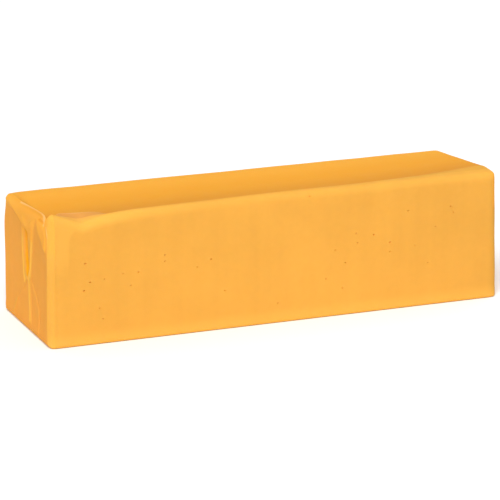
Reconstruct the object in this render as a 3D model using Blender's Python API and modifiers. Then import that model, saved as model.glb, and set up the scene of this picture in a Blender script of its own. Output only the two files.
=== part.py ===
# A five-pound loaf of processed cheese, unwrapped and standing on its long side.
# It was poured hot into a lined carton, so it is one solid block with soft edges. The top sank behind
# a raised front lip, a fold of the liner left a notch in that lip, and the liner's folded ends left
# a slot with two lips, a low ridge and flat flaps on each end face.
# Metres, +Z up. The origin is the middle of the base. +X runs along the loaf, the notched end is at -X,
# and the tall front face looks along -Y.

import math

import bmesh
import bpy
from mathutils import Matrix, Vector

MM = 0.001

# Driving sizes of the block, its corners before rounding
LOAF_LENGTH = 298.8 * MM
LOAF_DEPTH = 91.3 * MM
FRONT_HEIGHT = 83.7 * MM
BACK_HEIGHT_NOTCHED_END = 75.6 * MM
BACK_HEIGHT_PLAIN_END = 74.2 * MM
NOTCHED_END_LEAN_IN = 1.3 * MM
PLAIN_END_LEAN_IN = 1.5 * MM

# Radii of its edges
UPRIGHT_RADIUS = 5.8 * MM
TOP_FRONT_RADIUS = 4.8 * MM
TOP_BACK_RADIUS = 3.9 * MM
TOP_NOTCHED_END_RADIUS = 6.3 * MM
TOP_PLAIN_END_RADIUS = 2.9 * MM
FOOT_RADIUS = 1.9 * MM
FOOT_NOTCHED_END_RADIUS = 3.4 * MM
FOOT_PLAIN_END_RADIUS = 1 * MM
EDGE_SEGMENTS = 4

# The front lip as (from the notched end, millimetres): how high its crest stands, and how far back it lies
LIP_HEIGHTS = ((0, 87), (4, 85.2), (7, 83.1), (12, 81.7), (18, 78.9), (23, 76.9), (31, 78.7), (43, 80.4),
               (60, 81.6), (97, 82.2), (145, 82.9), (190, 82.1), (246, 82.5), (299, 81.8))
LIP_BACK = ((0, 4), (60, 4), (150, 6), (250, 10), (299, 17))
LIP_SHOULDER_DROP = ((0, 0.2), (120, 0.5), (299, 1.6))
LIP_INNER_WIDTH = 8 * MM

# The ridge behind the notch, where the liner was folded over, as (from the notched end, height)
SECOND_LIP_BACK = 11 * MM
SECOND_LIP_HEIGHTS = ((6, 79.6), (10, 81.1), (22, 80.7), (35, 79.8), (43, 75.4))
SECOND_LIP_START = (4.5 * MM, 9 * MM)
SECOND_LIP_END = (37 * MM, 44 * MM)
SECOND_LIP_INNER_WIDTH = 4 * MM

# The rim along the notched end, as (from the front, height)
END_RIM_HEIGHTS = ((8, 76.4), (18, 77), (22, 77.4), (31, 77.4), (40, 76.7), (50, 76), (62, 75.2), (78, 76.2),
                   (91.3, 75.6))
END_RIM_INSIDE = (5.6 * MM, 8.6 * MM)
END_RIM_FRONT = (4.8 * MM, 9.5 * MM)

# The hollow between those rims
HOLLOW_DEPTH = 4.2 * MM
HOLLOW_EXTRA_AT_NOTCHED_END = 1.8 * MM
HOLLOW_EXTRA_FADE = (26 * MM, 104 * MM)
HOLLOW_BACK = (52 * MM, 88 * MM)
HOLLOW_PLAIN_END = (205 * MM, 288 * MM)

# How much of the top's own height change reaches down the sides, as a share of the height
SIDE_FOLLOWS = (0.4, 0.92)

# The liner's folds on an end face, as (sideways from the middle, height), the front face on the minus side.
# The side flaps lie sunk between the rims, and what is raised comes back level with the rims.
FLAP_SINK = 0.9 * MM
FLAP_SIDE_MARGIN = (33 * MM, 38 * MM)
FLAP_FOOT_MARGIN = (3 * MM, 9 * MM)
TOP_FLAP_EDGE = ((-38, 60.7), (-32.3, 62), (-18.7, 72.4), (-12.9, 66.5), (6.7, 64.8), (30.1, 72.1), (38, 74.5))
TOP_FLAP_STEP = 3 * MM
SLOT = ((-1.2, 66.5), (-2.6, 51), (-5.8, 37.6))
SLOT_DEPTH = 3 * MM
SLOT_WIDTH = (7.4 * MM, 4.4 * MM)
BACK_LIP = ((6.7, 64), (3.4, 32))
FRONT_LIP = ((-12.9, 66), (-10.3, 38.8))
FOLD_LIP_HEIGHT = 0.8 * MM
FOLD_LIP_WIDTH = 5 * MM
LOW_RIDGE = ((-6.6, 37), (-9.2, 2))
LOW_RIDGE_HEIGHT = 0.9 * MM
LOW_RIDGE_WIDTH = 5.4 * MM
LOW_FOLD_BACK = ((-0.1, 29), (16.6, 11.6), (21.5, 4.7))
LOW_FOLD_FRONT = ((-10.3, 33), (-24, 20.2))
LOW_FOLD_HEIGHT = 0.7 * MM
LOW_FOLD_WIDTH = 4.4 * MM
LOW_FOLD_TAPER = 0.4
CORNER_TUCK = ((-37.7, 76), (-40.5, 69), (-37.6, 61.5))
CORNER_TUCK_DEPTH = 1.3 * MM
CORNER_TUCK_WIDTH = 4 * MM
PLAIN_END_FOLDS = 0.7

# Where the surface is divided finely enough to hold those forms. TOP_ROWS are millimetres from the front,
# SIDE_ROWS millimetres from the base, and the fine columns of the sides lie above UPPER_SHARE of the height.
FINE_END = 52 * MM
FINE_STEP = 2.4 * MM
COARSE_STEP = 20 * MM
UPPER_SHARE = 0.6
TOP_ROWS = [5.8, 6.9, 8, 9.4, 11, 12, 13.2, 15, 17, 19.5, 22.5, 26.5, 32, 40, 49, 58, 66, 73, 79, 85]
SIDE_ROWS = [8, 20, 33, 46, 56, 64, 70, 75]
END_ROW_STEP = 2.8 * MM
END_COLUMN_STEP = 2.9 * MM
FOLD_COLUMN_STEP = 1.3 * MM
FOLD_COLUMNS = (-16 * MM, 9 * MM)
CUT_MERGE = 0.05 * MM
SHARP_FROM = math.radians(40)

CHEESE_COLOUR = (0.965, 0.455, 0.075, 1.0)
CHEESE_ROUGHNESS = 0.42

FRONT = -LOAF_DEPTH / 2
NOTCHED_END = -LOAF_LENGTH / 2


def clear_scene():
    for old in list(bpy.data.objects):
        bpy.data.objects.remove(old, do_unlink=True)


def ramp(low, high, value):
    # 0 up to low, 1 from high on, eased between the two
    t = min(max((value - low) / (high - low), 0.0), 1.0)
    return t * t * (3.0 - 2.0 * t)


def swell(distance, width):
    # 1 on a line, eased down to 0 at half the width on each side of it
    return 1.0 - ramp(0.0, width / 2, abs(distance))


def between(stations, place):
    # The value at a place along a row of (place, value) stations in millimetres, in straight runs between them
    place = min(max(place / MM, stations[0][0]), stations[-1][0])
    for (low, first), (high, second) in zip(stations, stations[1:]):
        if place <= high:
            break
    return (first + (second - first) * (place - low) / (high - low)) * MM


def mix(first, second, share):
    return first + (second - first) * share


def path_distance(point, path):
    # Distance from a point to a bent line in millimetres, and how far along it the nearest place is, from 0 to 1
    nearest, reached = math.inf, 0.0
    spot = Vector(point)
    runs = len(path) - 1
    for index, (start, end) in enumerate(zip(path, path[1:])):
        start, end = Vector(start) * MM, Vector(end) * MM
        run = end - start
        along = min(max((spot - start).dot(run) / run.length_squared, 0.0), 1.0)
        away = (spot - start - run * along).length
        if away < nearest:
            nearest, reached = away, (index + along) / runs
    return nearest, reached


def edge_radius(edge):
    # The rounding of one edge of the plain block, from where the edge lies
    middle = (edge.verts[0].co + edge.verts[1].co) / 2
    direction = edge.verts[1].co - edge.verts[0].co
    if abs(direction.z) > MM:
        return UPRIGHT_RADIUS
    at_top = middle.z > FRONT_HEIGHT / 2
    if abs(direction.x) > MM:
        if at_top:
            return TOP_FRONT_RADIUS if middle.y < 0 else TOP_BACK_RADIUS
        return FOOT_RADIUS
    if middle.x < 0:
        return TOP_NOTCHED_END_RADIUS if at_top else FOOT_NOTCHED_END_RADIUS
    return TOP_PLAIN_END_RADIUS if at_top else FOOT_PLAIN_END_RADIUS


def rounded_block(name):
    # A cube of the loaf's size with each edge rounded by its own radius, through a weighted Bevel
    mesh = bpy.data.meshes.new(name)
    bm = bmesh.new()
    size = Matrix.Diagonal((LOAF_LENGTH, LOAF_DEPTH, FRONT_HEIGHT, 1))
    bmesh.ops.create_cube(bm, size=1, matrix=Matrix.Translation((0, 0, FRONT_HEIGHT / 2)) @ size)
    weight = bm.edges.layers.float.new("bevel_weight_edge")
    widest = TOP_NOTCHED_END_RADIUS
    for edge in bm.edges:
        edge[weight] = edge_radius(edge) / widest
    bm.to_mesh(mesh)
    bm.free()
    block = bpy.data.objects.new(name, mesh)
    bevel = block.modifiers.new("rounded edges", "BEVEL")
    bevel.limit_method = "WEIGHT"
    bevel.width = widest
    bevel.segments = EDGE_SEGMENTS
    bevel.use_clamp_overlap = False
    return block


def cut(bm, axis, place, region):
    # One straight cut through the faces of a region, which leaves its neighbours whole
    faces = [face for face in bm.faces if region(face.calc_center_median())]
    edges = {edge for face in faces for edge in face.edges}
    verts = {vert for face in faces for vert in face.verts}
    origin = Vector((0, 0, 0))
    origin[axis] = place
    normal = Vector((0, 0, 0))
    normal[axis] = 1
    geometry = list(verts) + list(edges) + faces
    bmesh.ops.bisect_plane(bm, geom=geometry, dist=CUT_MERGE, plane_co=origin, plane_no=normal)


def steps(low, high, step):
    # Evenly spaced places strictly between two limits
    count = max(1, round((high - low) / step))
    return [low + (high - low) * i / count for i in range(1, count)]


def divide_surface(bm):
    # Cuts the block's faces into rows and columns, close together where the relief is fine
    foot = FOOT_RADIUS + MM
    crown = FRONT_HEIGHT - TOP_NOTCHED_END_RADIUS

    def off_the_foot(centre):
        return centre.z > foot

    def upper(centre):
        return centre.z > FRONT_HEIGHT * UPPER_SHARE and centre.x < 0

    def top(centre):
        return centre.z > crown

    def notched_face(centre):
        return centre.x < NOTCHED_END + UPRIGHT_RADIUS and centre.z > foot

    def plain_face(centre):
        return centre.x > -NOTCHED_END - UPRIGHT_RADIUS and centre.z > foot

    for x in steps(NOTCHED_END + FINE_END, -NOTCHED_END - UPRIGHT_RADIUS, COARSE_STEP):
        cut(bm, 0, x, off_the_foot)
    for row in SIDE_ROWS:
        cut(bm, 2, row * MM, off_the_foot)
    for x in steps(NOTCHED_END + UPRIGHT_RADIUS, NOTCHED_END + FINE_END, FINE_STEP):
        cut(bm, 0, x, upper)
    for row in TOP_ROWS:
        cut(bm, 1, FRONT + row * MM, top)
    for face_region in (notched_face, plain_face):
        for z in steps(foot, crown, END_ROW_STEP):
            cut(bm, 2, z, face_region)
        for y in steps(FRONT + UPRIGHT_RADIUS, FOLD_COLUMNS[0], END_COLUMN_STEP) + [FOLD_COLUMNS[0]]:
            cut(bm, 1, y, face_region)
        for y in steps(FOLD_COLUMNS[0], FOLD_COLUMNS[1], FOLD_COLUMN_STEP):
            cut(bm, 1, y, face_region)
        for y in [FOLD_COLUMNS[1]] + steps(FOLD_COLUMNS[1], -FRONT - UPRIGHT_RADIUS, END_COLUMN_STEP):
            cut(bm, 1, y, face_region)


def plane_height(from_end, from_front):
    # The flat top through the block's four corners
    back = mix(BACK_HEIGHT_NOTCHED_END, BACK_HEIGHT_PLAIN_END, from_end / LOAF_LENGTH)
    return mix(FRONT_HEIGHT, back, from_front / LOAF_DEPTH)


def floor_height(from_end, from_front):
    # The sunken top, which rises to the back edge and towards the plain end
    depth = HOLLOW_DEPTH + HOLLOW_EXTRA_AT_NOTCHED_END * (1 - ramp(*HOLLOW_EXTRA_FADE, from_end))
    depth *= (1 - ramp(*HOLLOW_BACK, from_front)) * (1 - ramp(*HOLLOW_PLAIN_END, from_end))
    return plane_height(from_end, from_front) - depth


def top_height(from_end, from_front):
    # The whole top: the front lip, the ridge behind its notch, the notched end's rim and the floor inside them
    crest, crest_back = between(LIP_HEIGHTS, from_end), between(LIP_BACK, from_end)
    floor = floor_height(from_end, from_front)
    if from_front < crest_back:
        shoulder = between(LIP_SHOULDER_DROP, from_end) * (1 - from_front / crest_back) ** 2
        return crest - shoulder
    height = mix(crest, floor, ramp(crest_back, crest_back + LIP_INNER_WIDTH, from_front))
    second = between(SECOND_LIP_HEIGHTS, from_end)
    if from_front < SECOND_LIP_BACK:
        shelf = mix(crest, second, (from_front - crest_back) / (SECOND_LIP_BACK - crest_back))
    else:
        shelf = mix(second, floor, ramp(SECOND_LIP_BACK, SECOND_LIP_BACK + SECOND_LIP_INNER_WIDTH, from_front))
    height = mix(height, shelf, ramp(*SECOND_LIP_START, from_end) * (1 - ramp(*SECOND_LIP_END, from_end)))
    rim = between(END_RIM_HEIGHTS, from_front)
    return mix(height, rim, ramp(*END_RIM_FRONT, from_front) * (1 - ramp(*END_RIM_INSIDE, from_end)))


def shape_top(point):
    # Moves the plain block's flat top to its real heights, less and less down the sides
    from_end = point.x - NOTCHED_END
    from_front = point.y - FRONT
    plane = plane_height(from_end, from_front)
    level = point.z / FRONT_HEIGHT
    return level * plane + (top_height(from_end, from_front) - plane) * ramp(*SIDE_FOLLOWS, level)


def on_path(here, path, width, taper=0.0):
    # 1 on a fold, 0 beside it. A taper narrows and lowers it towards its far end
    away, along = path_distance(here, path)
    return swell(away, width * (1 - taper * along)) * (1 - taper * along)


def end_relief(sideways, height):
    # How far an end face stands back at one place on it
    here = (sideways, height)
    border = between(TOP_FLAP_EDGE, sideways)
    inside = 1 - ramp(*FLAP_SIDE_MARGIN, abs(sideways))
    inside *= ramp(*FLAP_FOOT_MARGIN, height)
    inside *= 1 - ramp(border - TOP_FLAP_STEP / 2, border + TOP_FLAP_STEP / 2, height)
    raised = LOW_RIDGE_HEIGHT * on_path(here, LOW_RIDGE, LOW_RIDGE_WIDTH)
    for path in (BACK_LIP, FRONT_LIP):
        raised += FOLD_LIP_HEIGHT * on_path(here, path, FOLD_LIP_WIDTH)
    for path in (LOW_FOLD_BACK, LOW_FOLD_FRONT):
        raised += LOW_FOLD_HEIGHT * on_path(here, path, LOW_FOLD_WIDTH, LOW_FOLD_TAPER)
    away, along = path_distance(here, SLOT)
    sunk = SLOT_DEPTH * swell(away, mix(*SLOT_WIDTH, along))
    sunk = max(sunk, CORNER_TUCK_DEPTH * on_path(here, CORNER_TUCK, CORNER_TUCK_WIDTH))
    return sunk + max(FLAP_SINK - raised, 0) * inside


def shape_ends(point):
    # Presses the folds into both ends, leans them in at the top
    near = ramp(-NOTCHED_END - 2 * UPRIGHT_RADIUS, -NOTCHED_END - UPRIGHT_RADIUS / 2, abs(point.x))
    relief = end_relief(point.y, point.z) * near
    lean = point.z / FRONT_HEIGHT * abs(point.x) / -NOTCHED_END
    if point.x > 0:
        return point.x - relief * PLAIN_END_FOLDS - PLAIN_END_LEAN_IN * lean
    return point.x + relief + NOTCHED_END_LEAN_IN * lean


def stand_on_origin(bm):
    # Puts the middle of the base on the origin
    low = Vector([min(vert.co[i] for vert in bm.verts) for i in range(3)])
    high = Vector([max(vert.co[i] for vert in bm.verts) for i in range(3)])
    move = Vector((-(low.x + high.x) / 2, -(low.y + high.y) / 2, -low.z))
    bmesh.ops.translate(bm, vec=move, verts=bm.verts)


def cheese_material():
    material = bpy.data.materials.new("processed cheese")
    material.use_nodes = True
    shader = material.node_tree.nodes["Principled BSDF"]
    shader.inputs["Base Color"].default_value = CHEESE_COLOUR
    shader.inputs["Roughness"].default_value = CHEESE_ROUGHNESS
    shader.inputs["Metallic"].default_value = 0.0
    material.diffuse_color = CHEESE_COLOUR
    return material


def make_loaf():
    collection = bpy.data.collections.new("american_cheese_loaf")
    bpy.context.scene.collection.children.link(collection)
    block = rounded_block("plain_block")
    collection.objects.link(block)
    rounded = bpy.data.meshes.new_from_object(
        block.evaluated_get(bpy.context.evaluated_depsgraph_get())
    )
    bpy.data.objects.remove(block, do_unlink=True)
    bm = bmesh.new()
    bm.from_mesh(rounded)
    divide_surface(bm)
    for vert in bm.verts:
        point = vert.co.copy()
        vert.co = (shape_ends(point), point.y, shape_top(point))
    stand_on_origin(bm)
    bmesh.ops.triangulate(bm, faces=bm.faces)
    bmesh.ops.recalc_face_normals(bm, faces=bm.faces)
    mesh = bpy.data.meshes.new("cheese_loaf")
    bm.to_mesh(mesh)
    bm.free()
    mesh.materials.append(cheese_material())
    mesh.shade_smooth()
    mesh.set_sharp_from_angle(angle=SHARP_FROM)
    loaf = bpy.data.objects.new("cheese_loaf", mesh)
    collection.objects.link(loaf)


clear_scene()
make_loaf()
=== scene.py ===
import math
import random

import bmesh
import bpy
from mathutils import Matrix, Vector


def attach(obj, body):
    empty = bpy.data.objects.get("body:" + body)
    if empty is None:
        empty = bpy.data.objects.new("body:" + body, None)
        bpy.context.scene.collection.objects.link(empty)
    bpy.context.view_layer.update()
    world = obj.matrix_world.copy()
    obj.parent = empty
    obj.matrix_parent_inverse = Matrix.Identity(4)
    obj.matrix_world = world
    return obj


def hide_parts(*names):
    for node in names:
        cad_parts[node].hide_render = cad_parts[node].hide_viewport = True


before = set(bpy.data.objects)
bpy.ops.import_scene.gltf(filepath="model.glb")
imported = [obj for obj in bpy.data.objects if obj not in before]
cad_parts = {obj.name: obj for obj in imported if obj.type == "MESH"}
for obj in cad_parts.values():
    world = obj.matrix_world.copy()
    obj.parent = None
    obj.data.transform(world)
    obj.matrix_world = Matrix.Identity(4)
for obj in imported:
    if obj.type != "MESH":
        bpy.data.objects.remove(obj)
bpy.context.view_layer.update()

mm = 0.001
cutLimit = 0.00001      # m: a point closer than this to a cut is on it
touching = 0.05         # mm: a point closer than this to a line or a place is on it
bpy.ops.object.select_all(action="DESELECT")


def linearColour(hexText):
    # sRGB hex to the linear colour that the shader wants
    parts = [int(hexText[i:i + 2], 16) / 255 for i in (1, 3, 5)]
    return [c / 12.92 if c <= 0.04045 else ((c + 0.055) / 1.055) ** 2.4 for c in parts] + [1.0]


def ease(low, high, value):
    # 0 up to low, 1 from high on, smooth in between
    t = min(max((value - low) / (high - low), 0.0), 1.0)
    return t * t * (3 - 2 * t)


def readOff(stations, place):
    # value at a place along a dictionary of place: value, straight between its entries
    places = sorted(stations)
    place = min(max(place, places[0]), places[-1])
    for low, high in zip(places, places[1:]):
        if place <= high:
            share = (place - low) / (high - low)
            return stations[low] + (stations[high] - stations[low]) * share


def pickVerts(test):
    # selects the points that pass the test, the way a box select would; returns how many
    mesh = bmesh.from_edit_mesh(bpy.context.edit_object.data)
    bpy.ops.mesh.select_mode(type="VERT")
    bpy.ops.mesh.select_all(action="DESELECT")
    found = 0
    for vert in mesh.verts:
        if not vert.hide and test(vert.co / mm):
            vert.select = True
            found += 1
    mesh.select_flush_mode()
    bmesh.update_edit_mesh(bpy.context.edit_object.data)
    return found


def pickFaces(test):
    # selects the faces whose middle passes the test
    mesh = bmesh.from_edit_mesh(bpy.context.edit_object.data)
    bpy.ops.mesh.select_mode(type="FACE")
    bpy.ops.mesh.select_all(action="DESELECT")
    for face in mesh.faces:
        if not face.hide and test(face.calc_center_median() / mm):
            face.select = True
    mesh.select_flush_mode()
    bmesh.update_edit_mesh(bpy.context.edit_object.data)


def pickEdges(test):
    # selects the edges whose two ends pass the test together
    mesh = bmesh.from_edit_mesh(bpy.context.edit_object.data)
    bpy.ops.mesh.select_mode(type="EDGE")
    bpy.ops.mesh.select_all(action="DESELECT")
    for edge in mesh.edges:
        if test(edge.verts[0].co / mm, edge.verts[1].co / mm):
            edge.select = True
    mesh.select_flush_mode()
    bmesh.update_edit_mesh(bpy.context.edit_object.data)


def sliceAll(places, axis, start):
    # straight cuts right round the block, at distances in mm from its low side
    for place in places:
        point = [0, 0, 0]
        point[axis] = (start + place) * mm
        normal = [0, 0, 0]
        normal[axis] = 1
        bpy.ops.mesh.select_all(action="SELECT")
        bpy.ops.mesh.bisect(plane_co=point, plane_no=normal, threshold=cutLimit)


def drag(test, offset, reach=0.0, falloff="SMOOTH"):
    # moves the chosen points by an offset in mm, with soft selection out to reach
    if not pickVerts(test):
        return
    move = [side * mm for side in offset]
    if reach:
        bpy.ops.transform.translate(value=move, use_proportional_edit=True, proportional_edit_falloff=falloff,
                                    proportional_size=reach * mm)
    else:
        bpy.ops.transform.translate(value=move)


# The loaf starts as a cage of large faces that is dragged to shape, then subdivided.
# All sizes are in mm. "Along" counts from the notched end, "across" from the front face.
loaf = {
    "length": 298.6,
    "depth": 91.1,
    "height": 83.7,
    "backHeight": {0: 75.8, 298.6: 74.7},
    # height: how far each end leans in
    "endLeanIn": {0: -0.06, 7: -0.06, 20: 0, 38: 0.3, 56: 0.8, 67: 1.1, 75: 1.1},
    "plainEndLeanIn": {0: 0, 20: 0, 38: 0.8, 56: 0.9, 67: 1.4, 75: 1.5},
    # chamfers of the cage, which the subdivision turns into round edges
    "uprightChamfer": 3.4,
    "topFrontChamfer": 2.3,
    "topBackChamfer": 2.3,
    "topEndChamfer": 3.2,
    "topPlainEndChamfer": 1.7,
    "footChamfer": 1.0,
    "footEndChamfer": 2.4,
    "footPlainEndChamfer": 1.2,
    # where the cage is cut
    "columns": [5.4, 7.4, 10, 14, 18.5, 23, 27.5, 33, 38, 43, 60, 97, 145, 190, 246, 275, 290],
    "rows": [5.4, 8.2, 12, 16, 17.6, 22, 36, 52, 68, 80, 86],
    "levels": [7, 20, 38, 56, 67, 75],
    # how much of the top's change the points below it take, by their height
    "sidesFollow": {38: 0.0, 56: 0.25, 67: 0.65, 75: 0.92, 80: 1.0, 84: 1.0},
    # the raised front lip: height of its crest, and how far behind the front it lies
    "lipHeight": {0: 85.6, 3.6: 84.5, 5.4: 83.8, 7.4: 82.9, 10: 81.9, 14: 80.5, 18.5: 78.7, 23: 76.9, 27.5: 78.2,
                  33: 79.8, 38: 80.3, 43: 80.9, 60: 82.0, 97: 82.1, 145: 83.2, 190: 82.2, 246: 82.7, 298.6: 82.4},
    "lipBack": {0: 4.4, 60: 4.6, 150: 6, 250: 10, 298.6: 17},
    "lipWidth": 1.1,                  # it keeps its height this far behind its crest
    "lipShoulder": {0: 0.2, 120: 0.5, 298.6: 0.9},      # how far its front edge lies below its crest
    "lipInside": 7,                   # length of its inner slope
    # how far the upper edge of the front face is let down
    "frontShoulderDrop": {0: 0.6, 12: 2.0, 30: 2.0, 60: 1.2, 110: 0.3, 220: 0.3, 298.6: 2.2},
    # the folded-over second lip behind the notch; its inner side falls away steeply
    "secondLipHeight": {7.4: 79.6, 10: 81.0, 14: 80.7, 18.5: 80.4, 23: 80.1, 27.5: 79.9, 33: 79.6, 38: 79.1,
                        43: 77.8},
    "secondLipBack": 16,
    "secondLipStarts": (5.3, 10),
    "secondLipEnds": (37, 48),
    "secondLipSag": 0.2,              # of the shelf between the two lips, up to the next distance
    "secondLipSagBefore": 13,
    "secondLipInside": 1.7,
    "secondLipInsideShare": 0.25,
    # the rim along the notched end, from the front to the back
    "rimHeight": {8.2: 75.6, 12: 76.2, 16: 78.0, 22: 79.3, 31: 78.8, 36: 78.4, 52: 77.0, 68: 75.8, 80: 76.4,
                  86: 76.0, 91.2: 75.0},
    "rimInside": (5.5, 9.9),
    "rimStarts": (5.4, 8.2),
    # the sunken top
    "hollowDepth": {0: 6.6, 26: 6.4, 104: 4.4, 205: 4.2, 288: 0, 298.6: 0},
    "hollowAcross": {11: 1, 52: 1, 60: 0.9, 68: 0.6, 80: 0.12, 88: 0},
    # a further dip in the corner behind the notch: depth, then middle and width along and across
    "cornerDip": 2.2,
    "cornerDipAlong": (12, 13),
    "cornerDipAcross": (19, 11),
    # the front face rolls back gently towards the notched end, by this much at each column
    "frontRoll": {5.4: 0.4, 7.4: 0.28, 10: 0.16, 14: 0.05},
    # how crisp the rims stay when the cage is subdivided
    "lipCrispness": 0.5,
    "secondLipCrispness": 0.85,
    "cornerCrispness": 0.35,
    "rimCrispness": 0.7,
    "subdivisions": 3,
}
frontY = -loaf["depth"] / 2
endX = -loaf["length"] / 2


def fromEnd(co):
    return co.x - endX


def fromFront(co):
    return co.y - frontY


def flatTop(along, across):
    # the plain top through the block's four corners
    back = readOff(loaf["backHeight"], along)
    return loaf["height"] + (back - loaf["height"]) * across / loaf["depth"]


def topHeight(along, across):
    # where the cage's top lies: lip, second lip, end rim and hollow
    crest, crestBack = readOff(loaf["lipHeight"], along), readOff(loaf["lipBack"], along)
    floor = flatTop(along, across)
    floor -= readOff(loaf["hollowDepth"], along) * readOff(loaf["hollowAcross"], across)
    (dipAlong, dipLength), (dipAcross, dipWidth) = loaf["cornerDipAlong"], loaf["cornerDipAcross"]
    floor -= loaf["cornerDip"] * math.exp(-((along - dipAlong) / dipLength) ** 2
                                          - ((across - dipAcross) / dipWidth) ** 2)
    if across < crestBack + loaf["lipWidth"]:
        front = max(1 - across / crestBack, 0)
        return crest - readOff(loaf["lipShoulder"], along) * front ** 2
    height = crest + (floor - crest) * ease(crestBack, crestBack + loaf["lipInside"], across)
    second, secondBack = readOff(loaf["secondLipHeight"], along), loaf["secondLipBack"]
    shelf = floor
    if across < secondBack + 0.1:
        shelf = crest + (second - crest) * (across - crestBack) / (secondBack - crestBack)
        shelf -= loaf["secondLipSag"] if across < loaf["secondLipSagBefore"] else 0
    elif across < secondBack + loaf["secondLipInside"]:
        shelf = floor + (second - floor) * loaf["secondLipInsideShare"]
    behindNotch = ease(*loaf["secondLipStarts"], along) * (1 - ease(*loaf["secondLipEnds"], along))
    height += (shelf - height) * behindNotch
    rim = readOff(loaf["rimHeight"], across)
    return height + (rim - height) * (1 - ease(*loaf["rimInside"], along)) * ease(*loaf["rimStarts"], across)


def makeBlock():
    # a cube of the loaf's size, its edges chamfered and its faces cut into the cage
    size = (loaf["length"] * mm, loaf["depth"] * mm, loaf["height"] * mm)
    bpy.ops.mesh.primitive_cube_add(size=1, location=(0, 0, size[2] / 2), scale=size)
    block = bpy.context.object
    block.name = "cheeseLoaf"
    bpy.ops.object.transform_apply(location=True, rotation=True, scale=True)
    bpy.ops.object.mode_set(mode="EDIT")
    half = loaf["height"] / 2
    edges = {  # chamfer name: which edges of the cube take it
        "uprightChamfer": lambda a, b: abs(a.z - b.z) > 1,
        "topFrontChamfer": lambda a, b: abs(a.x - b.x) > 1 and a.z > half and a.y < 0,
        "topBackChamfer": lambda a, b: abs(a.x - b.x) > 1 and a.z > half and a.y > 0,
        "topEndChamfer": lambda a, b: abs(a.y - b.y) > 1 and a.z > half and a.x < 0,
        "topPlainEndChamfer": lambda a, b: abs(a.y - b.y) > 1 and a.z > half and a.x > 0,
        "footChamfer": lambda a, b: abs(a.x - b.x) > 1 and a.z < half,
        "footEndChamfer": lambda a, b: abs(a.y - b.y) > 1 and a.z < half and a.x < 0,
        "footPlainEndChamfer": lambda a, b: abs(a.y - b.y) > 1 and a.z < half and a.x > 0,
    }
    widest = max(loaf[name] for name in edges)
    for name, test in edges.items():
        pickEdges(test)
        bpy.ops.transform.edge_bevelweight(value=loaf[name] / widest)
    bpy.ops.object.mode_set(mode="OBJECT")
    bevel = block.modifiers.new("chamfers", "BEVEL")
    bevel.limit_method = "WEIGHT"
    bevel.width = widest * mm
    bevel.segments = 1
    bevel.use_clamp_overlap = False
    bpy.ops.object.modifier_apply(modifier=bevel.name)
    bpy.ops.object.mode_set(mode="EDIT")
    sliceAll(loaf["columns"], 0, endX)
    sliceAll(loaf["rows"], 1, frontY)
    sliceAll(loaf["levels"], 2, 0)
    return block


def dragTop():
    # each crossing of the top's cage goes to its height, and the sides follow less and less
    mesh = bmesh.from_edit_mesh(bpy.context.edit_object.data)
    follow = loaf["sidesFollow"]
    moves = []
    for vert in mesh.verts:
        co = vert.co / mm
        if co.z < min(follow) + 1:
            continue
        flat = flatTop(fromEnd(co), fromFront(co))
        change = (topHeight(fromEnd(co), fromFront(co)) - flat) * readOff(follow, co.z)
        if fromFront(co) < 0.1 and co.z > 80:
            change -= readOff(loaf["frontShoulderDrop"], fromEnd(co))
        moves.append((co, co.z * flat / loaf["height"] + change - co.z))
    for place, lift in moves:
        drag(lambda co: (co - place).length < touching, (0, 0, lift))


def leanEnds():
    # each level of both ends moves in by its own lean; all above the highest level moves with the top
    above = max(loaf["levels"]) + 1
    for height in (0, *loaf["levels"], loaf["height"]):
        near = lambda co: co.z > above if height > above else abs(co.z - height) < 3.3 and co.z < above
        lean, plainLean = readOff(loaf["endLeanIn"], height), readOff(loaf["plainEndLeanIn"], height)
        drag(lambda co: fromEnd(co) < 4 and near(co), (lean, 0, 0))
        drag(lambda co: fromEnd(co) > loaf["length"] - 4 and near(co), (-plainLean, 0, 0))


def rollFront():
    for place, back in loaf["frontRoll"].items():
        drag(lambda co: fromFront(co) < 0.1 and abs(fromEnd(co) - place) < 0.1 and 5 < co.z < 72, (0, back, 0))


def creaseLine(test, amount):
    # keeps an edge of the cage crisp; the test is asked of both ends of each edge
    pickEdges(lambda a, b: test(a) and test(b))
    bpy.ops.transform.edge_crease(value=amount)


def creaseRims():
    # the lip, the second lip, the lip's corner and the end rim are crisp in the photo
    lipRow, secondRow, rimColumn = loaf["rows"][0], loaf["secondLipBack"], loaf["columns"][0]
    creaseLine(lambda co: abs(fromFront(co) - lipRow) < 0.1 and co.z > 70 and 5 < fromEnd(co) < 200,
               loaf["lipCrispness"])
    creaseLine(lambda co: abs(fromFront(co) - secondRow) < 0.1 and co.z > 70 and 9 < fromEnd(co) < 44,
               loaf["secondLipCrispness"])
    creaseLine(lambda co: fromFront(co) < 4.5 and co.z > 80 and fromEnd(co) < 4.6, loaf["cornerCrispness"])
    creaseLine(lambda co: abs(fromEnd(co) - rimColumn) < 0.1 and co.z > 70 and 8 < fromFront(co) < 79,
               loaf["rimCrispness"])


print("loaf: block")
block = makeBlock()
dragTop()
leanEnds()
rollFront()
creaseRims()
bpy.ops.object.mode_set(mode="OBJECT")
rounding = block.modifiers.new("rounding", "SUBSURF")
rounding.levels = rounding.render_levels = loaf["subdivisions"]
bpy.ops.object.modifier_apply(modifier=rounding.name)
bpy.ops.object.mode_set(mode="EDIT")
pickFaces(lambda centre: centre.z < 0.01)
bpy.ops.mesh.dissolve_limited(angle_limit=0.01)      # the flat underside needs no small faces
bpy.ops.object.mode_set(mode="OBJECT")
print("loaf: rounded,", len(block.data.polygons), "faces", [round(side / mm, 1) for side in block.dimensions])

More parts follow.
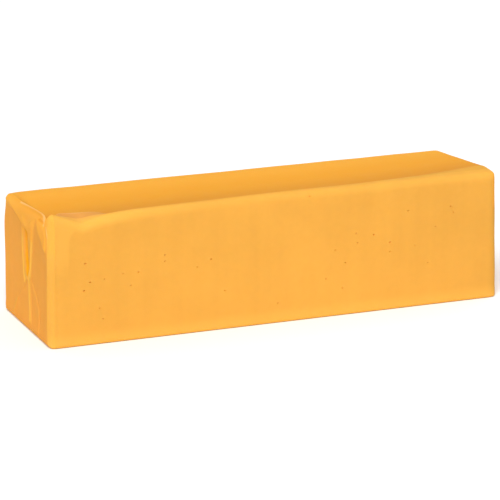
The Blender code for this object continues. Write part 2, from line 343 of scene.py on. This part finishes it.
# Folds of the film that were pressed into the end faces while the cheese was warm.
# Lines run as (sideways, height) in mm, with the front face on the minus side.
folds = {
    "flaps": {  # name: (outline, how far it is pressed in (+) or raised (-))
        "backFlap": ([(44.5, 71.5), (33.2, 70.4), (22.9, 68.7), (14.9, 67), (7, 64.6), (6.9, 60), (7.1, 48.7),
                      (6, 36.2), (3.9, 29), (15, 19.5), (22, 13.6), (27.5, 4), (29, -1), (44.5, -1)], 0.5),
        "frontFlap": ([(-19.2, 74.3), (-17.9, 70), (-16.3, 67.1), (-14, 58.9), (-10.9, 45.9), (-9.8, 37.4),
                       (-9.6, 34), (-14.3, 29.8), (-19.1, 26.7), (-20.2, 23.8), (-23.9, 20.4), (-24.5, 9.9),
                       (-24.8, -1), (-39.5, -1), (-39.5, 57), (-36.1, 59.2), (-31.3, 64), (-25.4, 67.5),
                       (-20.4, 74.8)], 0.5),
        "lowFlap": ([(-2, 31.5), (-6, 32.5), (-9.6, 33.4), (-19, 26.5), (-23.8, 20.2), (-24.4, -1), (28, -1),
                     (14.8, 19)], 0.46),
        "lowBack": ([(-1.8, 30), (0.2, 29.2), (10, 20.9), (15.1, 15), (20.5, 3), (-4.6, 3), (-2.2, 19.1)], 0.3),
        "pleat": ([(-20.8, 75.2), (-25.4, 68), (-31.3, 64.5), (-36, 59.7), (-38.4, 61.5), (-38.7, 67.5),
                   (-35, 73.4), (-30, 75.6)], -0.35),
    },
    "flapEdge": 1.7,                  # how far the step beside a flap reaches
    "scoreReach": 1.1,                # faces this close to a line are cut along it
    "lines": {  # name: (line, how far in (+) or out (-), reach)
        "backLip": ([(6.3, 64), (6.3, 48.7), (5, 36.2), (2.6, 31)], -0.4, 2.2),
        "frontLip": ([(-12.3, 67), (-11, 58), (-9, 45.5), (-7.4, 37)], -0.45, 2.0),
        "lowRidge": ([(-3.9, 37), (-5.3, 26.6), (-5.6, 20.3), (-7.4, 8)], -0.5, 3.4),
        "lowValley": ([(-8.3, 32), (-8.8, 20), (-11, 4)], 0.35, 1.5),
        "lowBackFold": ([(1.9, 29.2), (12.4, 20.3), (18.4, 14.2), (24, 4)], -0.25, 1.9),
        "lowFrontFold": ([(-10.5, 32), (-15, 28.6), (-18.4, 25.6), (-19, 17)], -0.1, 3.5),
        "topFlapTip": ([(5, 68), (-1, 66), (-8, 66.5), (-13, 70)], -0.7, 4.2),
        "topFlapBack": ([(31, 71.9), (22.5, 70.1), (9, 66.6)], -0.2, 2.2),
        "tuck": ([(-24, 77.2), (-30.6, 75.9), (-35.6, 74.4), (-39.6, 68), (-39.3, 59)], 0.6, 1.6),
    },
    "slot": [  # the gap where the two side flaps met: (line, depth, reach)
        ([(-0.6, 60), (-0.2, 55), (-0.4, 50), (-2.2, 41)], 1.0, 6),
        ([(-0.5, 62.6), (-0.2, 57), (-0.3, 50)], 1.5, 3.2),
        ([(-0.3, 50), (-1.7, 43.3), (-2.9, 36.5)], 1.5, 2.1),
    ],
    "notOnPlainEnd": ["pleat", "tuck"],
    "plainEndShare": 0.75,            # the plain end's folds are a little softer
    "endDish": 0.5,                   # how far the middle of each end is drawn in
    "endDishReach": 13,
    "rimBead": 0.35,                  # the thin raised bead along the end rim
    "rimBeadReach": 1.1,
}


def lineDistance(spot, line):
    # distance from a (sideways, height) place to a bent line
    nearest = math.inf
    for (ax, ay), (bx, by) in zip(line, line[1:]):
        runX, runY = bx - ax, by - ay
        along = ((spot[0] - ax) * runX + (spot[1] - ay) * runY) / (runX * runX + runY * runY)
        along = min(max(along, 0.0), 1.0)
        nearest = min(nearest, math.hypot(spot[0] - ax - runX * along, spot[1] - ay - runY * along))
    return nearest


def nearLine(co, line, reach):
    sides, heights = [spot[0] for spot in line], [spot[1] for spot in line]
    return (min(sides) - reach < co.y < max(sides) + reach and min(heights) - reach < co.z < max(heights) + reach
            and lineDistance((co.y, co.z), line) < reach)


def insideOutline(spot, outline):
    # even-odd test for a place in a closed outline
    inside, (x, y) = False, spot
    for (ax, ay), (bx, by) in zip(outline, outline[1:] + outline[:1]):
        if (ay > y) != (by > y) and x < (bx - ax) * (y - ay) / (by - ay) + ax:
            inside = not inside
    return inside


def score(line):
    # cuts the faces under a bent line along it, so that a fold can follow it exactly
    for (ay, az), (by, bz) in zip(line, line[1:]):
        pickFaces(lambda centre: nearLine(centre, [(ay, az), (by, bz)], folds["scoreReach"]))
        across = Vector((0, bz - az, ay - by)).normalized()
        bpy.ops.mesh.bisect(plane_co=(0, ay * mm, az * mm), plane_no=across, threshold=cutLimit)


def crease(line, offset, reach, falloff="SMOOTH"):
    # presses in (+) or raises (-) a scored line, and what lies within reach of it
    score(line)
    drag(lambda co: nearLine(co, line, touching), (offset, 0, 0), reach, falloff)


def dishEnds():
    bpy.ops.object.mode_set(mode="EDIT")
    for side in (-1, 1):
        drag(lambda co: co.x * side > loaf["length"] / 2 - 3 and abs(co.y) < 28 and 14 < co.z < 58,
             (-side * folds["endDish"], 0, 0), folds["endDishReach"])
    bpy.ops.object.mode_set(mode="OBJECT")


def foldEnd(side):
    # side -1 is the notched end, 1 the plain one
    skipped = [] if side < 0 else folds["notOnPlainEnd"]
    inward = -side * (1.0 if side < 0 else folds["plainEndShare"])
    bpy.ops.object.mode_set(mode="EDIT")
    pickFaces(lambda centre: centre.x * side > loaf["length"] / 2 - 2.8 and centre.z > 2)
    bpy.ops.mesh.hide(unselected=True)
    bpy.ops.mesh.select_all(action="SELECT")
    bpy.ops.mesh.subdivide(number_cuts=1)
    for name, (outline, depth) in folds["flaps"].items():
        if name not in skipped:
            closed = outline + outline[:1]
            score(closed)
            drag(lambda co: insideOutline((co.y, co.z), outline) or nearLine(co, closed, touching),
                 (inward * depth, 0, 0), folds["flapEdge"])
    for name, (line, offset, reach) in folds["lines"].items():
        if name not in skipped:
            crease(line, inward * offset, reach)
    for line, depth, reach in folds["slot"]:
        crease(line, inward * depth, reach, "LINEAR")
    bpy.ops.mesh.reveal(select=False)
    bpy.ops.object.mode_set(mode="OBJECT")


def raiseRimBead():
    bpy.ops.object.mode_set(mode="EDIT")
    rimColumn = loaf["columns"][0]
    drag(lambda co: abs(fromEnd(co) - rimColumn) < 0.3 and co.z > 74 and 9 < fromFront(co) < 80,
         (0, 0, folds["rimBead"]), folds["rimBeadReach"])
    bpy.ops.object.mode_set(mode="OBJECT")


print("loaf: folds")
dishEnds()
# keeps how far out each point was, so that the folds' depth can be read off afterwards
flatX = block.data.attributes.new("flatX", "FLOAT", "POINT")
flatX.data.foreach_set("value", [vert.co.x / mm for vert in block.data.vertices])
foldEnd(-1)
foldEnd(1)
raiseRimBead()

# Measures that the material reads, one value for each point of the surface.
tints = {
    # raised lines painted lighter where the light picks them out, a painted highlight, and how far that reaches
    "litLines": {"lowRidge": 3.2, "backLip": 2.6, "frontLip": 2.4, "topFlapTip": 4.5},
    "litShare": 0.45,
    "litCore": 0.35,                  # share of the reach that is lit in full
    # painted highlight on the narrow edges of the folded film, as (line through (along, across, height), width)
    "highlightEdges": [
        ([(4.6, 64, 75.8), (5.2, 50, 77.3), (5.4, 36, 78.4), (5.3, 24, 79.1), (4.9, 19.5, 78.7), (3.8, 16.8, 77.8),
          (2.6, 14.8, 76.6), (1.6, 12.8, 75)], 1.25),
        ([(1.3, 6.2, 75.6), (1.0, 4.6, 73), (0.8, 3.6, 69), (0.7, 3.4, 65)], 0.8),
        ([(11, 15.9, 80.6), (23, 15.9, 79.8), (33, 15.9, 79.2), (41, 15.9, 78.1)], 1.1),
    ],
    "highlightShare": 0.65,
    "highlightCore": 0.15,                 # share of the width that is pale in full
    # painted shade down in the slot, a little weaker in its upper part
    "slotLine": [(0.1, 61.8), (0.3, 57), (0.1, 50), (-1.3, 43), (-2.6, 37)],
    "slotReach": 2.6,
    "slotCore": 0.6,
    "slotFade": 0.35,
    "slotFadeHeights": (44, 54),
    # painted light: lighter bands on the lip, the upright edge at the notched end, the foot and the back edge; on
    # the lip partly light through the cheese, elsewhere painted highlight, and at the foot painted bounce from the
    # floor
    "crestInside": 1.2,               # the finished crest lies this far below the cage's
    "lip": {0: 0.5, 40: 0.6, 70: 0.3, 110: 0.12, 200: 0.15, 298.6: 0.25},
    "lipReach": {0: 6, 40: 6.5, 70: 5.5, 110: 5, 298.6: 4.2},
    "upright": 0.05,
    "uprightReach": (1.5, 8),
    "foot": 0.5,
    "footReach": 11,
    "backEdge": 0.3,
    "backEdgeReach": (55, 88),
    # painted light on the lighter left part of the front, which ends at a curved line: height: how far from the
    # notched end
    "patchEdge": {40: 13, 56.7: 13.8, 66.9: 14, 71.4: 15.7, 74.8: 20.3, 76.4: 28, 77.2: 36},
    "patchEdgeSoftness": 0.8,
    "patch": 0.3,
    "patchHeights": (40, 60),
    # painted light on the top: how far a face looks up, how far behind the lip, and the part that the second lip
    # covers
    "paintedTopUpward": (0.6, 0.95),
    "paintedTopBehindLip": 5,
    "paintedTopCoverStarts": (4, 8),
    "paintedTopCoverEnds": (38, 50),
    # painted shade on the low part of the top near the lip
    "hollowShadeReach": (14, 58),          # the low part of it, near the lip
    # the lens between the two lips, its own lighter, pinker colour partly painted light against the painted shade
    # round it
    "lensStarts": (5, 7),
    "lensEnds": (44, 50),
    "lensAcross": (5.5, 7),
    "lensUpward": (0.6, 0.9),
    "flapTopHeights": (56, 62),       # the flap folded down over the end from the top, and the pleat beside it
    "flapTopDepths": (0.1, 0.4),
}


def edgeDistance(place, line):
    # distance from a place to a bent line in space
    nearest = math.inf
    for start, end in zip(line, line[1:]):
        start, run = Vector(start), Vector(end) - Vector(start)
        along = min(max((place - start).dot(run) / run.length_squared, 0.0), 1.0)
        nearest = min(nearest, (place - start - run * along).length)
    return nearest


def foldDepth(vert, flat):
    # how far a point was pressed in (+) or raised (-), taken as less on the lines that the light picks out, so
    # that these take a painted highlight
    co = vert.co / mm
    depth = abs(flat.value) - abs(vert.co.x) / mm
    if abs(co.x) > loaf["length"] / 2 - 3:
        for name, reach in tints["litLines"].items():
            line = folds["lines"][name][0]
            if nearLine(co, line, reach):
                away = lineDistance((co.y, co.z), line) / reach
                depth -= tints["litShare"] * (1 - ease(tints["litCore"], 1, away))
    return depth


def paintedHighlightAt(place):
    # painted highlight on the narrow edges of folded film, which all lie high up near the notched end
    if place.x >= 45 or place.z <= 60:
        return 0.0
    near = [1 - ease(width * tints["highlightCore"], width, edgeDistance(place, line))
            for line, width in tints["highlightEdges"]]
    return max(near) * tints["highlightShare"]


def slotAt(co):
    # painted shade far down in the gap between the two side flaps
    if abs(co.x) <= loaf["length"] / 2 - 7 or not nearLine(co, tints["slotLine"], tints["slotReach"]):
        return 0.0
    away = lineDistance((co.y, co.z), tints["slotLine"]) / tints["slotReach"]
    amount = 1 - ease(tints["slotCore"], 1.0, away)
    amount *= 1 - tints["slotFade"] * ease(*tints["slotFadeHeights"], co.z)
    return amount * (1 if co.x < 0 else folds["plainEndShare"])


def paintedLightAt(place):
    # painted light on the lip, the edges, the foot and the back edge, partly light through the cheese at the lip;
    # place is (along, across, height)
    crest = readOff(loaf["lipHeight"], place.x) - tints["crestInside"]
    paintedLight = 0.0
    if place.y < 9 and place.z > 60:
        reach = readOff(tints["lipReach"], place.x)
        paintedLight = readOff(tints["lip"], place.x) * ease(crest - reach, crest - 1, place.z)
    if place.y < 6:
        upright = tints["upright"] * (1 - ease(*tints["uprightReach"], place.x)) * ease(0, 30, place.z)
        edge = readOff(tints["patchEdge"], place.z)
        soft = tints["patchEdgeSoftness"]
        patch = 1 - ease(edge - soft, edge + soft, place.x)
        patch *= tints["patch"] * ease(*tints["patchHeights"], place.z)
        foot = tints["foot"] * (1 - ease(0, tints["footReach"], place.z))
        paintedLight = max(paintedLight, upright + patch, foot) if place.x > 0.6 else paintedLight
    if place.z > 70:
        paintedLight = max(paintedLight, tints["backEdge"] * ease(*tints["backEdgeReach"], place.y))
    return paintedLight


def paintedTopAt(place, upward):
    # painted light: faces of the top that look up take a warmer, deeper colour for how light falls on them, with
    # painted shade in the low part behind the lip; the lens behind the notch is left out and takes its own colour
    crestBack = readOff(loaf["lipBack"], place.x)
    paintedTop = ease(*tints["paintedTopUpward"], upward) * (place.z > 60)
    paintedTop *= ease(crestBack, crestBack + tints["paintedTopBehindLip"], place.y)
    if place.y < loaf["secondLipBack"] + 1:
        paintedTop *= 1 - ease(*tints["paintedTopCoverStarts"], place.x) * (1 - ease(*tints["paintedTopCoverEnds"], place.x))
    hollowShade = paintedTop * (1 - ease(*tints["hollowShadeReach"], place.y))
    lens = 0.0
    if place.y < loaf["secondLipBack"] and place.z > 70:
        lens = ease(*tints["lensStarts"], place.x) * (1 - ease(*tints["lensEnds"], place.x))
        lens *= ease(*tints["lensAcross"], place.y) * ease(*tints["lensUpward"], upward)
    return paintedTop, hollowShade, lens


def flapTopAt(place, depth):
    # the part of each end above the folds that was pressed in less
    if 5.2 <= place.x <= 294:
        return 0.0
    return ease(*tints["flapTopHeights"], place.z) * (1 - ease(*tints["flapTopDepths"], depth))


def addMeasure(name, values):
    # a value for each point, which the material reads by its name
    measure = block.data.attributes.new(name, "FLOAT", "POINT")
    measure.data.foreach_set("value", values)


def measureTints():
    measures = {name: [] for name in ("pressed", "paintedHighlight", "slotShade", "paintedLight", "paintedTop", "hollowShade", "lens", "flapTop",
                                      "pinholeShade")}
    for vert, flat in zip(block.data.vertices, block.data.attributes["flatX"].data):
        co = vert.co / mm
        place = Vector((fromEnd(co), fromFront(co), co.z))      # along, across, height
        depth = foldDepth(vert, flat)
        paintedTop, hollowShade, lens = paintedTopAt(place, vert.normal.z)
        row = (depth, paintedHighlightAt(place), slotAt(co), paintedLightAt(place), paintedTop, hollowShade, lens, flapTopAt(place, depth), 0)
        for values, value in zip(measures.values(), row):
            values.append(value)
    block.data.attributes.remove(block.data.attributes["flatX"])
    for name, values in measures.items():
        addMeasure(name, values)


print("loaf: tints")
measureTints()

# The cheese shrank a little as it cooled, so no face is quite flat.
unevenness = {
    "depth": 0.5,
    "size": 45,
    "startsAbove": (2, 9),            # none at the foot, so that the loaf stands flat
}


def addUnevenness():
    bulk = block.vertex_groups.new(name="bulk")
    for vert in block.data.vertices:
        bulk.add([vert.index], ease(*unevenness["startsAbove"], vert.co.z / mm), "REPLACE")
    clouds = bpy.data.textures.new("uneven", type="CLOUDS")
    clouds.noise_scale = unevenness["size"] * mm
    clouds.noise_depth = 1
    sag = block.modifiers.new("uneven", "DISPLACE")
    sag.texture = clouds
    sag.texture_coords = "LOCAL"
    sag.mid_level = 1.0      # the surface only ever moves inwards
    sag.strength = unevenness["depth"] * mm
    sag.vertex_group = bulk.name
    bpy.ops.object.modifier_apply(modifier=sag.name)
    block.vertex_groups.clear()


addUnevenness()

# Pinholes: small bubbles that the surface cut through.
pinholes = {
    # on the front face: (along, height, radius)
    "front": [(24, 52, 0.5), (23, 35, 0.55), (53, 35, 0.3), (58, 43, 0.4), (48, 43, 0.25), (75, 52, 0.35),
              (75, 48, 0.3), (105, 46, 0.4), (96, 42, 0.3), (114, 25, 0.3), (33, 23, 0.3), (35, 16, 0.3),
              (36, 41, 0.25), (27, 40, 0.4), (170, 79, 0.3), (236, 63, 0.45), (265, 63, 0.4), (267, 59, 0.3),
              (255, 51, 0.27), (201, 52, 0.35), (202, 46, 0.3), (213, 50, 0.45), (224, 44, 0.4), (224, 38, 0.3),
              (194, 34, 0.4), (181, 25, 0.3), (192, 18, 0.35), (250, 28, 0.3), (187, 43, 0.3), (149, 13, 0.3),
              (241, 40, 0.22)],
    "swell": 0.22,                    # mm added to each, so that it shows as in the photo
    "depth": 1.7,                     # as a share of its radius
    "flatness": 0.8,                  # height of the bubble as a share of its width
    "proud": 0.15,                    # how far its middle lies outside the surface, as a share of its radius
    "backCount": 26,
    "backAlong": (12, 286),
    "backHeight": (6, 66),
    "radius": (0.25, 0.45),
    "seed": 7,
}


def makePinholes():
    # one flattened bubble, copied to every place and joined, to be cut out of the loaf together
    chance = random.Random(pinholes["seed"])
    places = [(along, -1, height, radius) for along, height, radius in pinholes["front"]]
    for _ in range(pinholes["backCount"]):
        places.append((chance.uniform(*pinholes["backAlong"]), 1, chance.uniform(*pinholes["backHeight"]),
                       chance.uniform(*pinholes["radius"])))
    bpy.ops.object.select_all(action="DESELECT")
    bpy.ops.mesh.primitive_ico_sphere_add(subdivisions=2, radius=mm, location=(0, 0, 0))
    bubble = bpy.context.object
    bubble.name = "bubbles"
    pinholeShade = bubble.data.attributes.new("pinholeShade", "FLOAT", "POINT")      # tells the material where to paint shade inside the holes
    pinholeShade.data.foreach_set("value", [1.0] * len(bubble.data.vertices))
    bpy.ops.object.mode_set(mode="EDIT")
    bpy.ops.mesh.select_all(action="SELECT")
    bpy.ops.transform.resize(value=(1, 1, pinholes["flatness"]))
    bpy.ops.object.mode_set(mode="OBJECT")
    copies = []
    for along, side, height, radius in places:
        above = ((along + endX) * mm, side * loaf["depth"] * mm, height * mm)
        surface = block.ray_cast(above, (0, -side, 0))[1]
        copy = bubble.copy()
        copy.data = bubble.data.copy()
        radius += pinholes["swell"]
        copy.scale = (radius, radius * pinholes["depth"], radius)
        copy.location = surface + Vector((0, side * radius * pinholes["proud"] * mm, 0))
        bpy.context.collection.objects.link(copy)
        copies.append(copy)
    bpy.data.objects.remove(bubble)
    for copy in copies:
        copy.select_set(True)
    bpy.context.view_layer.objects.active = copies[0]
    bpy.ops.object.join()
    bpy.ops.object.transform_apply(location=True, rotation=True, scale=True)
    return copies[0]


def cutPinholes(bubbles):
    bpy.ops.object.select_all(action="DESELECT")
    block.select_set(True)
    bpy.context.view_layer.objects.active = block
    cut = block.modifiers.new("pinholes", "BOOLEAN")
    cut.operation = "DIFFERENCE"
    cut.solver = "EXACT"
    cut.object = bubbles
    bpy.ops.object.modifier_apply(modifier=cut.name)
    bpy.data.objects.remove(bubbles)


print("loaf: pinholes")
cutPinholes(makePinholes())
bpy.ops.object.shade_smooth_by_angle(angle=math.radians(50))
print("loaf finished:", sum(len(face.vertices) - 2 for face in block.data.polygons), "triangles",
      [round(side / mm, 1) for side in block.dimensions])

# The cheese's colours and finish. Sizes are in mm.
cheese = {
    "body": "#dfa145",
    "dull": "#e49b43",          # where the film was folded over and pressed flat; darker in part as painted shade on the pressed-in flaps
    "slotShadeColour": "#e2991a",          # painted shade down in the slot, the dark orange of light that only reaches it through the cheese
    "raisedHighlight": "#efb04a",         # raised edges, lighter as a painted highlight
    "paintedLight": "#f2b450",          # painted light on the lip and edges, partly light through the cheese
    "edge": "#f0bd7c",          # painted highlight on the narrow edges that the film drew up
    "paintedTop": "#e59c36",          # painted light: the top's colour for how light falls on it
    "flap": "#eba240",          # the flap folded down over the end
    "pinholeShade": "#b8701e",          # painted shade inside the pinholes
    "lens": "#dc974b",          # the fold behind the notch, pressed smooth by the film; its lighter, pinker colour is partly painted light, set off against the painted shade round it
    "hollowShade": "#d88f34",        # painted shade on the low part of the top, near the lip
    # (place on the ramp, colour); the ramp runs over foldRange, which is how far in a point was pressed: raised
    # parts take a painted highlight, pressed-in parts painted shade
    "foldStops": [(0.0, "raisedHighlight"), (0.125, "body"), (0.24, "dull"), (1.0, "dull")],
    "foldRange": (-0.5, 3.5),
    # (size, stretch, strength): broad clouds, small ones, and streaks down the sides from the filling
    "mottling": [(40, (1, 1, 1), 0.03), (4.5, (1, 1, 1), 0.012), (9, (1, 1, 0.05), 0.016)],
    "plainEndDarkening": 0.955,         # brightness left at the plain end
    "plainEndDarkeningRange": (30, 150),        # from the loaf's middle
    "roughness": (0.42, 0.56),
    "sheenSize": 12,
    "wrinkles": [(7, 0.12), (0.9, 0.02)],       # (size, depth): wrinkles, grain
    "noiseRange": (0.3, 0.7),
    "noiseDetail": 2.0,
    "ior": 1.45,
    "specular": 0.003,
    "glow": 0.2,                # share of light that travels inside
    "glowDepth": 2.5,
    "glowTravel": (1.0, 0.45, 0.12),    # red, green and blue travel this far of it
}


def addNode(tree, kind, links=(), values=(), **settings):
    # one node; links are (its input, another node's output), values are (its input, what it is set to)
    node = tree.nodes.new(kind)
    for name, value in settings.items():
        setattr(node, name, value)
    for socket, value in values:
        node.inputs[socket].default_value = value
    for socket, source in links:
        tree.links.new(source, node.inputs[socket])
    return node


def processedCheese():
    # processed cheese: poured hot, so smooth and faintly oily, and slightly translucent
    material = bpy.data.materials.new("processedCheese")
    material.use_nodes = True
    tree = material.node_tree
    shader = tree.nodes["Principled BSDF"]
    shader.inputs["IOR"].default_value = cheese["ior"]
    shader.inputs["Specular IOR Level"].default_value = cheese["specular"]
    shader.inputs["Subsurface Weight"].default_value = cheese["glow"]
    shader.inputs["Subsurface Radius"].default_value = cheese["glowTravel"]
    shader.inputs["Subsurface Scale"].default_value = cheese["glowDepth"] * mm
    place = addNode(tree, "ShaderNodeTexCoord").outputs["Object"]
    # colour follows how far the film pressed the surface, partly its real mark and partly painted light and shade
    # on the folds
    fold = addNode(tree, "ShaderNodeAttribute", attribute_name="pressed")
    low, high = cheese["foldRange"]
    fold = addNode(tree, "ShaderNodeMapRange", links=[("Value", fold.outputs["Fac"])],
                   values=[("From Min", low), ("From Max", high)])
    ramp = addNode(tree, "ShaderNodeValToRGB", links=[("Fac", fold.outputs["Result"])])
    elements = ramp.color_ramp.elements
    while len(elements) < len(cheese["foldStops"]):
        elements.new(0.5)
    for element, (spot, name) in zip(elements, cheese["foldStops"]):
        element.position = spot
        element.color = linearColour(cheese[name])
    colour = ramp.outputs["Color"]
    # each noise is used between these two values, where nearly all of it lies
    low, high = cheese["noiseRange"]
    for size, stretch, strength in cheese["mottling"]:
        spread = addNode(tree, "ShaderNodeMapping", links=[("Vector", place)], values=[("Scale", stretch)])
        noise = addNode(tree, "ShaderNodeTexNoise", links=[("Vector", spread.outputs["Vector"])],
                        values=[("Scale", 1 / (size * mm)), ("Detail", cheese["noiseDetail"])])
        tone = addNode(tree, "ShaderNodeMapRange", links=[("Value", noise.outputs["Fac"])],
                       values=[("From Min", low), ("From Max", high), ("To Min", 1 - strength),
                               ("To Max", 1 + strength)])
        colour = addNode(tree, "ShaderNodeVectorMath", operation="SCALE",
                         links=[(0, colour), ("Scale", tone.outputs["Result"])]).outputs["Vector"]
    # a little darker towards the plain end
    along = addNode(tree, "ShaderNodeSeparateXYZ", links=[(0, place)]).outputs["X"]
    starts, ends = cheese["plainEndDarkeningRange"]
    tone = addNode(tree, "ShaderNodeMapRange", links=[("Value", along)],
                   values=[("From Min", starts * mm), ("From Max", ends * mm), ("To Min", 1.0),
                           ("To Max", cheese["plainEndDarkening"])])
    colour = addNode(tree, "ShaderNodeVectorMath", operation="SCALE",
                     links=[(0, colour), ("Scale", tone.outputs["Result"])]).outputs["Vector"]
    # then the tints by their measures, each one over those before it
    for measure, name in (("flapTop", "flap"), ("paintedTop", "paintedTop"), ("hollowShade", "hollowShade"), ("lens", "lens"),
                          ("slotShade", "slotShadeColour"), ("paintedLight", "paintedLight"), ("paintedHighlight", "edge"), ("pinholeShade", "pinholeShade")):
        share = addNode(tree, "ShaderNodeAttribute", attribute_name=measure).outputs["Fac"]
        # a colour mix has its two colours on inputs 6 and 7, and its result on output 2
        colour = addNode(tree, "ShaderNodeMix", data_type="RGBA", links=[(0, share), (6, colour)],
                         values=[(7, linearColour(cheese[name]))]).outputs[2]
    tree.links.new(colour, shader.inputs["Base Color"])
    # the oily sheen comes and goes
    noise = addNode(tree, "ShaderNodeTexNoise", links=[("Vector", place)],
                    values=[("Scale", 1 / (cheese["sheenSize"] * mm)), ("Detail", cheese["noiseDetail"])])
    smooth, rough = cheese["roughness"]
    sheen = addNode(tree, "ShaderNodeMapRange", links=[("Value", noise.outputs["Fac"])],
                    values=[("From Min", low), ("From Max", high), ("To Min", smooth), ("To Max", rough)])
    tree.links.new(sheen.outputs["Result"], shader.inputs["Roughness"])
    # the film's fine wrinkles, and over them the grain of the cheese
    normal = None
    for size, depth in cheese["wrinkles"]:
        noise = addNode(tree, "ShaderNodeTexNoise", links=[("Vector", place)],
                        values=[("Scale", 1 / (size * mm)), ("Detail", cheese["noiseDetail"])])
        bump = addNode(tree, "ShaderNodeBump", links=[("Height", noise.outputs["Fac"])],
                       values=[("Strength", 1.0), ("Distance", depth * mm)])
        if normal:
            tree.links.new(normal, bump.inputs["Normal"])
        normal = bump.outputs["Normal"]
    tree.links.new(normal, shader.inputs["Normal"])
    return material


block.data.materials.append(processedCheese())
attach(block, "root")
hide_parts("cheese_loaf")

# A white floor and surroundings, a large soft light, a small one overhead, and the photo's camera.
studio = {
    "floor": "#fdfdfd",
    "floorWidth": 12,                  # m
    "floorRoughness": 0.9,
    "softbox": {"azimuth": -30, "elevation": 48, "softness": 35, "power": 2.9},      # degrees
    # the small light's place, aim and width, in m
    "overhead": {"place": (0.33, 0.12, 0.5), "aim": (0.1, 0, 0.08), "width": 0.4, "power": 0.33},
    "world": 0.42,
    # the camera: degrees, and mm
    "azimuth": -21.4778,
    "elevation": 16.4748,
    "distance": 2253.8,
    "aim": (-1.003, 0, 34.70),
    "lens": 259.2,
    "sensor": 36,
}


def lookFrom(azimuth, elevation):
    # direction from the loaf to a light or the camera
    a, e = math.radians(azimuth), math.radians(elevation)
    return Vector((math.sin(a) * math.cos(e), -math.cos(a) * math.cos(e), math.sin(e)))


def makeFloor():
    bpy.ops.mesh.primitive_plane_add(size=studio["floorWidth"], location=(0, 0, 0))
    floor = bpy.context.object
    floor.name = "floor"
    paint = bpy.data.materials.new("paleFloor")      # matt white paint, so no mirror image of the loaf
    paint.use_nodes = True
    shader = paint.node_tree.nodes["Principled BSDF"]
    shader.inputs["Base Color"].default_value = linearColour(studio["floor"])
    shader.inputs["Roughness"].default_value = studio["floorRoughness"]
    floor.data.materials.append(paint)


def addSoftbox(azimuth, elevation, softness, power):
    # a sun, so that the floor is lit evenly; softness is its width in degrees
    back = lookFrom(azimuth, elevation)
    bpy.ops.object.light_add(type="SUN", location=back)
    light = bpy.context.object
    light.name = "softbox"
    light.data.angle = math.radians(softness)
    light.data.energy = power
    light.rotation_euler = back.to_track_quat("Z", "Y").to_euler()


def addOverhead(place, aim, width, power):
    bpy.ops.object.light_add(type="AREA", location=place)
    light = bpy.context.object
    light.name = "overhead"
    light.data.size = width
    light.data.energy = power
    light.rotation_euler = (light.location - Vector(aim)).to_track_quat("Z", "Y").to_euler()


def lightWorld(strength):
    world = bpy.data.worlds.new("studioWhite")
    bpy.context.scene.world = world
    world.use_nodes = True
    background = world.node_tree.nodes["Background"]
    background.inputs["Color"].default_value = (1, 1, 1, 1)
    background.inputs["Strength"].default_value = strength


def placeCamera():
    back = lookFrom(studio["azimuth"], studio["elevation"])
    bpy.ops.object.camera_add(location=Vector(studio["aim"]) * mm + back * studio["distance"] * mm,
                              rotation=back.to_track_quat("Z", "Y").to_euler())
    camera = bpy.context.object
    camera.data.sensor_width = studio["sensor"]
    camera.data.lens = studio["lens"]
    camera.data.clip_end = 50
    bpy.context.scene.camera = camera


print("studio")
makeFloor()
addSoftbox(**studio["softbox"])
addOverhead(**studio["overhead"])
lightWorld(studio["world"])
placeCamera()
bpy.context.scene.view_settings.view_transform = "Standard"
